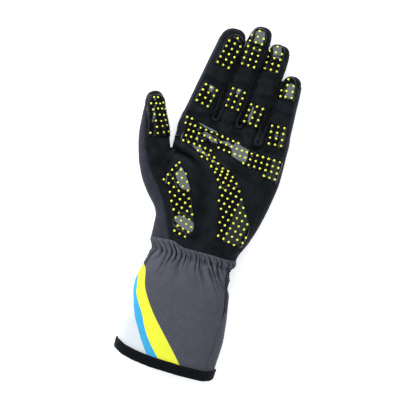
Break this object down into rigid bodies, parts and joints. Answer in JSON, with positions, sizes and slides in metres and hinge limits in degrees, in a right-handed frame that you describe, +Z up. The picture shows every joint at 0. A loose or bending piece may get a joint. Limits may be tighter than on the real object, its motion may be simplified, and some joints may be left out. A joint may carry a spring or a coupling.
{
  "type": "karting glove",
  "caption": "Long-cuff karting glove for the left hand, hollow, lying on its back: black palm with raised grip patches, grey back and cuff, gathered wrist, bound hem.",
  "frame": {"origin": "on the resting face of the back of the hand, under the middle of the palm", "axes": "+Y towards the fingertips, -X the thumb's side, +Z up out of the palm"},
  "size_m": [0.1253, 0.2955, 0.0325],
  "materials": {
    "black_suede": "matt synthetic suede",
    "grey_cloth": "matt woven stretch cloth",
    "stretch_knit": "matt knit",
    "binding_elastic": "ribbed elastic tape",
    "grip_silicone": "glossy printed silicone"
  },
  "bodies": {
    "root": {"palm_panel": "black_suede", "back_panel": "grey_cloth", "fourchette_index_middle": "black_suede", "fourchette_middle_ring": "black_suede", "fourchette_ring_little": "black_suede", "thumb_palm": "black_suede", "thumb_back": "grey_cloth", "cuff_front": "grey_cloth", "cuff_back": "grey_cloth", "cuff_stretch": "stretch_knit", "cuff_binding": "binding_elastic", "palm_patch": "grip_silicone", "thenar_patch": "grip_silicone", "thumb_patch": "grip_silicone", "index_tip_patch": "grip_silicone", "index_middle_patch": "grip_silicone", "middle_tip_patch": "grip_silicone", "middle_middle_patch": "grip_silicone", "ring_tip_patch": "grip_silicone", "ring_middle_patch": "grip_silicone", "little_tip_patch": "grip_silicone", "little_middle_patch": "grip_silicone"}
  },
  "joints": []
}
